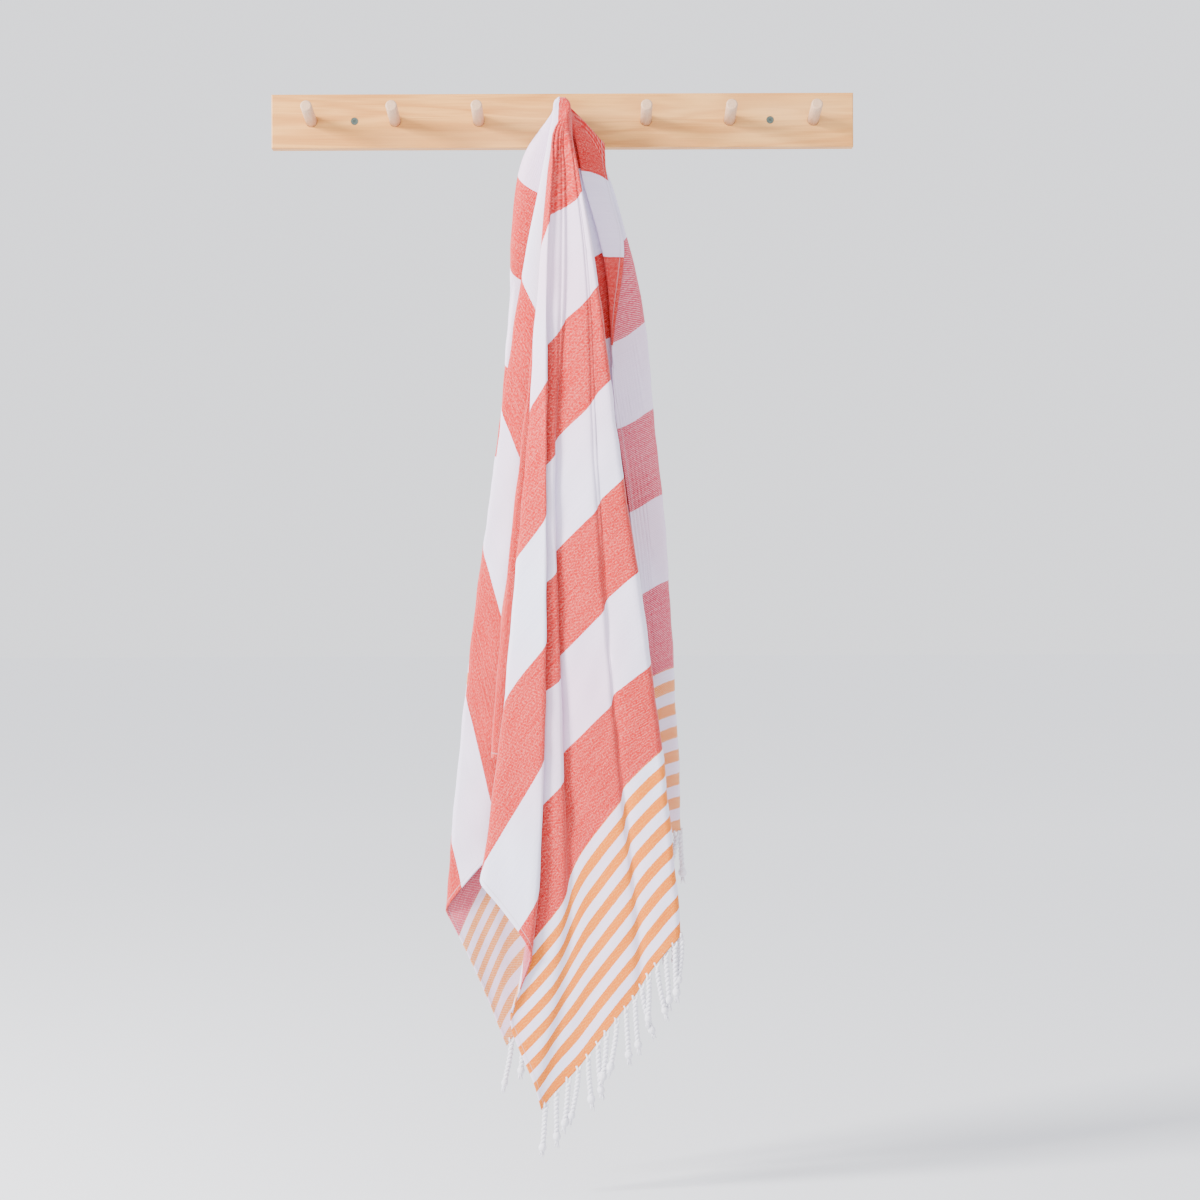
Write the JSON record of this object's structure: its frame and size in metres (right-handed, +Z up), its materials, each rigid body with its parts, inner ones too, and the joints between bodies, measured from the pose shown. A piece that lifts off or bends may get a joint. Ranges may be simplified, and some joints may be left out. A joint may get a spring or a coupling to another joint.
{
  "type": "towel on a peg rail",
  "caption": "Striped flat-woven cotton towel with twisted fringes, hung by its middle from a wooden peg of a wall rail.",
  "frame": {"origin": "centre of the board's back face, where it meets the wall", "axes": "+Y into the wall, +Z up, +X along the board to the right as seen from the room"},
  "size_m": [0.7, 0.1248, 1.2686],
  "materials": {
    "board": "clear matt varnish",
    "pegs": "fine sanded",
    "screws": "dull zinc",
    "cloth": "soft matt cotton",
    "fringe": "twisted cotton"
  },
  "bodies": {
    "root": {"rail_board": "board", "peg_1": "pegs", "peg_2": "pegs", "peg_3": "pegs", "peg_4": "pegs", "peg_5": "pegs", "peg_6": "pegs", "peg_7": "pegs", "screw_left": "screws", "screw_right": "screws", "towel": "cloth", "fringe_a": "fringe", "fringe_b": "fringe"}
  },
  "joints": []
}
